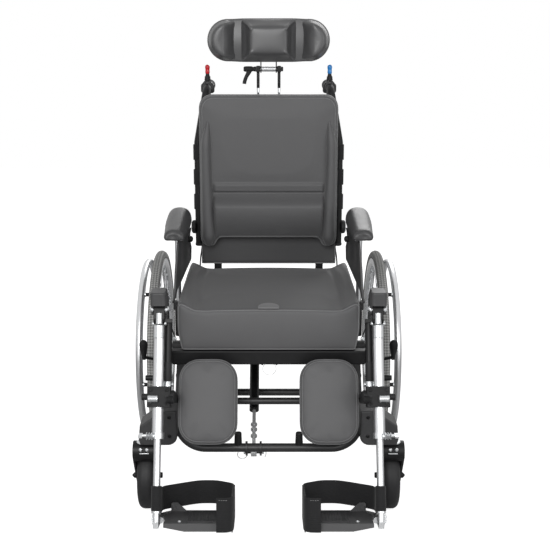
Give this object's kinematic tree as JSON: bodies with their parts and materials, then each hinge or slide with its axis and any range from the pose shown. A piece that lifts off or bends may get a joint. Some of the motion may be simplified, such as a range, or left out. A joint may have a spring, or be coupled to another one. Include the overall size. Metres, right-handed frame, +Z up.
{
  "type": "tilt in space wheelchair",
  "caption": "Tilt-in-space wheelchair with reclining back, head rest, height-adjustable arm rests and elevating swing-away leg rests.",
  "frame": {"origin": "centre of the overall footprint at floor level", "axes": "+Z up, -Y the way the user faces, +X to the user's left"},
  "size_m": [0.694, 1.0587, 1.17],
  "materials": {
    "tyre": "light grey moulded rubber with a fine chequered tread",
    "rim": "satin anodised rim and stainless spokes",
    "handrim": "polished anodised push rim",
    "castor_tyre": "solid dark polyurethane",
    "black_frame": "satin black powder coat",
    "black_plastic": "moulded black nylon",
    "polished_steel": "bright plated steel",
    "brushed_steel": "brushed steel",
    "cushion": "dark grey spacer mesh and knitted cover",
    "webbing": "woven nylon webbing",
    "pad_skin": "self-skinned black polyurethane foam",
    "footplate": "grained dark grey nylon",
    "grip": "soft black rubber",
    "red_plastic": "glossy red moulding",
    "blue_plastic": "glossy blue moulding"
  },
  "bodies": {
    "chassis": {"front_tube": "black_frame", "side_frame_left": "black_frame", "side_frame_right": "black_frame", "cross_tubes": "black_frame"},
    "wheel_left": {"rear_tyre_left": "tyre", "rear_wheel_left": "rim", "handrim_left": "handrim"},
    "wheel_right": {"rear_tyre_right": "tyre", "rear_wheel_right": "rim", "handrim_right": "handrim"},
    "castor_swivel_left": {"castor_fork_left": "black_frame"},
    "castor_left": {"castor_wheel_left": "castor_tyre"},
    "castor_swivel_right": {"castor_fork_right": "black_frame"},
    "castor_right": {"castor_wheel_right": "castor_tyre"},
    "anti_tip_left": {"anti_tip_arm_left": "black_frame"},
    "anti_tip_roller_left": {"anti_tip_wheel_left": "castor_tyre"},
    "anti_tip_right": {"anti_tip_arm_right": "black_frame"},
    "anti_tip_roller_right": {"anti_tip_wheel_right": "castor_tyre"},
    "brake_left": {"brake_lever_left": "black_frame"},
    "brake_right": {"brake_lever_right": "black_frame"},
    "seat": {"seat_frame": "black_frame", "seat_cushion": "cushion"},
    "arm_left": {"arm_post_left": "polished_steel", "arm_panel_left": "black_plastic", "arm_pad_left": "pad_skin"},
    "arm_right": {"arm_post_right": "polished_steel", "arm_panel_right": "black_plastic", "arm_pad_right": "pad_skin"},
    "back": {"back_frame": "black_frame", "back_straps": "webbing", "back_sling": "cushion", "back_cushion": "cushion", "push_grips": "grip", "release_cables": "black_plastic"},
    "tilt_release": {"tilt_lever": "red_plastic"},
    "recline_release": {"recline_lever": "blue_plastic"},
    "head_post": {"head_stem": "polished_steel"},
    "head_rest": {"head_bracket": "brushed_steel", "head_pad": "cushion"},
    "head_clamp": {"head_lever": "black_plastic"},
    "hanger_left": {"hanger_left": "black_frame"},
    "leg_left": {"leg_bracket_left": "black_frame", "leg_tube_left": "polished_steel", "calf_clamp_left": "black_plastic"},
    "lower_leg_left": {"lower_tube_left": "polished_steel"},
    "calf_left": {"calf_pad_left": "cushion"},
    "foot_left": {"foot_plate_left": "footplate", "heel_strap_left": "webbing"},
    "hanger_right": {"hanger_right": "black_frame"},
    "leg_right": {"leg_bracket_right": "black_frame", "leg_tube_right": "polished_steel", "calf_clamp_right": "black_plastic"},
    "lower_leg_right": {"lower_tube_right": "polished_steel"},
    "calf_right": {"calf_pad_right": "cushion"},
    "foot_right": {"foot_plate_right": "footplate", "heel_strap_right": "webbing"},
    "tilt_rod": {"tilt_spring_rod": "brushed_steel"},
    "tilt_cylinder": {"tilt_spring_cylinder": "black_plastic"},
    "recline_cylinder": {"recline_spring_cylinder": "black_plastic"},
    "recline_rod": {"recline_spring_rod": "brushed_steel"}
  },
  "joints": [
    {"name": "wheel_turn_left", "type": "hinge", "parent": "chassis", "child": "wheel_left", "pos_m": [0.302, 0.1991, 0.27], "axis": [1, 0, 0], "continuous": true},
    {"name": "wheel_turn_right", "type": "hinge", "parent": "chassis", "child": "wheel_right", "pos_m": [-0.302, 0.1991, 0.27], "axis": [1, 0, 0], "continuous": true},
    {"name": "castor_swivel_turn_left", "type": "hinge", "parent": "chassis", "child": "castor_swivel_left", "pos_m": [0.295, -0.2989, 0.19], "axis": [0, 0, 1], "continuous": true},
    {"name": "castor_roll_left", "type": "hinge", "parent": "castor_swivel_left", "child": "castor_left", "pos_m": [0.295, -0.2539, 0.08], "axis": [1, 0, 0], "continuous": true},
    {"name": "castor_swivel_turn_right", "type": "hinge", "parent": "chassis", "child": "castor_swivel_right", "pos_m": [-0.295, -0.2989, 0.19], "axis": [0, 0, 1], "continuous": true},
    {"name": "castor_roll_right", "type": "hinge", "parent": "castor_swivel_right", "child": "castor_right", "pos_m": [-0.295, -0.2539, 0.08], "axis": [1, 0, 0], "continuous": true},
    {"name": "anti_tip_fold_left", "type": "hinge", "parent": "chassis", "child": "anti_tip_left", "pos_m": [0.23, 0.2391, 0.222], "axis": [1, 0, 0], "range_deg": [0, 100]},
    {"name": "anti_tip_roll_left", "type": "hinge", "parent": "anti_tip_left", "child": "anti_tip_roller_left", "pos_m": [0.218, 0.4991, 0.06], "axis": [1, 0, 0], "continuous": true},
    {"name": "anti_tip_fold_right", "type": "hinge", "parent": "chassis", "child": "anti_tip_right", "pos_m": [-0.23, 0.2391, 0.222], "axis": [1, 0, 0], "range_deg": [0, 100]},
    {"name": "anti_tip_roll_right", "type": "hinge", "parent": "anti_tip_right", "child": "anti_tip_roller_right", "pos_m": [-0.218, 0.4991, 0.06], "axis": [1, 0, 0], "continuous": true},
    {"name": "brake_push_left", "type": "hinge", "parent": "chassis", "child": "brake_left", "pos_m": [0.28, -0.0969, 0.322], "axis": [1, 0, 0], "range_deg": [0, 14]},
    {"name": "brake_push_right", "type": "hinge", "parent": "chassis", "child": "brake_right", "pos_m": [-0.28, -0.0969, 0.322], "axis": [1, 0, 0], "range_deg": [0, 14]},
    {"name": "seat_tilt", "type": "hinge", "parent": "chassis", "child": "seat", "pos_m": [0, -0.1209, 0.345], "axis": [-1, 0, 0], "range_deg": [0, 24]},
    {"name": "arm_height_left", "type": "slide", "parent": "seat", "child": "arm_left", "axis": [0, 0, 1], "range_m": [0, 0.06]},
    {"name": "arm_height_right", "type": "slide", "parent": "seat", "child": "arm_right", "axis": [0, 0, 1], "range_m": [0, 0.06]},
    {"name": "back_recline", "type": "hinge", "parent": "seat", "child": "back", "pos_m": [0, 0.2091, 0.42], "axis": [-1, 0, 0], "range_deg": [0, 30]},
    {"name": "tilt_lever_pull", "type": "hinge", "parent": "back", "child": "tilt_release", "pos_m": [-0.166, 0.2521, 1.014], "axis": [-1, 0, 0], "range_deg": [0, 20], "stiffness_Nm_per_rad": 0.3},
    {"name": "recline_lever_pull", "type": "hinge", "parent": "back", "child": "recline_release", "pos_m": [0.166, 0.2521, 1.014], "axis": [-1, 0, 0], "range_deg": [0, 20], "stiffness_Nm_per_rad": 0.3},
    {"name": "head_height", "type": "slide", "parent": "back", "child": "head_post", "axis": [0, 0, 1], "range_m": [0, 0.1]},
    {"name": "head_tilt", "type": "hinge", "parent": "head_post", "child": "head_rest", "pos_m": [0, 0.2111, 1.04], "axis": [-1, 0, 0], "range_deg": [-25, 25]},
    {"name": "head_clamp_turn", "type": "hinge", "parent": "head_post", "child": "head_clamp", "pos_m": [-0.05, 0.2111, 1.04], "axis": [1, 0, 0], "range_deg": [0, 90]},
    {"name": "hanger_swing_left", "type": "hinge", "parent": "seat", "child": "hanger_left", "pos_m": [0.243, -0.2569, 0.39], "axis": [0, 0, 1], "range_deg": [0, 70]},
    {"name": "leg_elevation_left", "type": "hinge", "parent": "hanger_left", "child": "leg_left", "pos_m": [0.248, -0.3329, 0.524], "axis": [-1, 0, 0], "range_deg": [0, 55]},
    {"name": "leg_length_left", "type": "slide", "parent": "leg_left", "child": "lower_leg_left", "axis": [0, -0.3907, -0.9205], "range_m": [-0.08, 0.03]},
    {"name": "calf_pad_pitch_left", "type": "hinge", "parent": "leg_left", "child": "calf_left", "pos_m": [0.19, -0.3177, 0.30136], "axis": [1, 0, 0], "range_deg": [-10, 10]},
    {"name": "foot_plate_flip_left", "type": "hinge", "parent": "lower_leg_left", "child": "foot_left", "pos_m": [0.241, -0.4729, 0.074], "axis": [0, 0.9781, -0.2079], "range_deg": [0, 60]},
    {"name": "hanger_swing_right", "type": "hinge", "parent": "seat", "child": "hanger_right", "pos_m": [-0.243, -0.2569, 0.39], "axis": [0, 0, -1], "range_deg": [0, 70]},
    {"name": "leg_elevation_right", "type": "hinge", "parent": "hanger_right", "child": "leg_right", "pos_m": [-0.248, -0.3329, 0.524], "axis": [-1, 0, 0], "range_deg": [0, 55]},
    {"name": "leg_length_right", "type": "slide", "parent": "leg_right", "child": "lower_leg_right", "axis": [0, -0.3907, -0.9205], "range_m": [-0.08, 0.03]},
    {"name": "calf_pad_pitch_right", "type": "hinge", "parent": "leg_right", "child": "calf_right", "pos_m": [-0.19, -0.3177, 0.30136], "axis": [1, 0, 0], "range_deg": [-10, 10]},
    {"name": "foot_plate_flip_right", "type": "hinge", "parent": "lower_leg_right", "child": "foot_right", "pos_m": [-0.241, -0.4729, 0.074], "axis": [0, -0.9781, 0.2079], "range_deg": [0, 60]},
    {"name": "tilt_spring_swing", "type": "hinge", "parent": "chassis", "child": "tilt_rod", "pos_m": [-0.036, -0.2679, 0.147], "axis": [-1, 0, 0], "range_deg": [0, 4.6]},
    {"name": "tilt_spring_stroke", "type": "slide", "parent": "tilt_rod", "child": "tilt_cylinder", "axis": [0, -0.7883, -0.6153], "range_m": [0, 0.033]},
    {"name": "recline_spring_swing", "type": "hinge", "parent": "seat", "child": "recline_cylinder", "pos_m": [0.036, -0.0409, 0.346], "axis": [1, 0, 0], "range_deg": [0, 2.2]},
    {"name": "recline_spring_stroke", "type": "slide", "parent": "recline_cylinder", "child": "recline_rod", "axis": [0, -0.9933, -0.1152], "range_m": [0, 0.023]}
  ],
  "couplings": [
    {"joint": "tilt_spring_swing", "follows": "seat_tilt", "ratio": 0.182},
    {"joint": "tilt_spring_stroke", "follows": "seat_tilt", "m_per_rad": 0.0736},
    {"joint": "recline_spring_swing", "follows": "back_recline", "ratio": 0.06196},
    {"joint": "recline_spring_stroke", "follows": "back_recline", "m_per_rad": 0.04167}
  ]
}
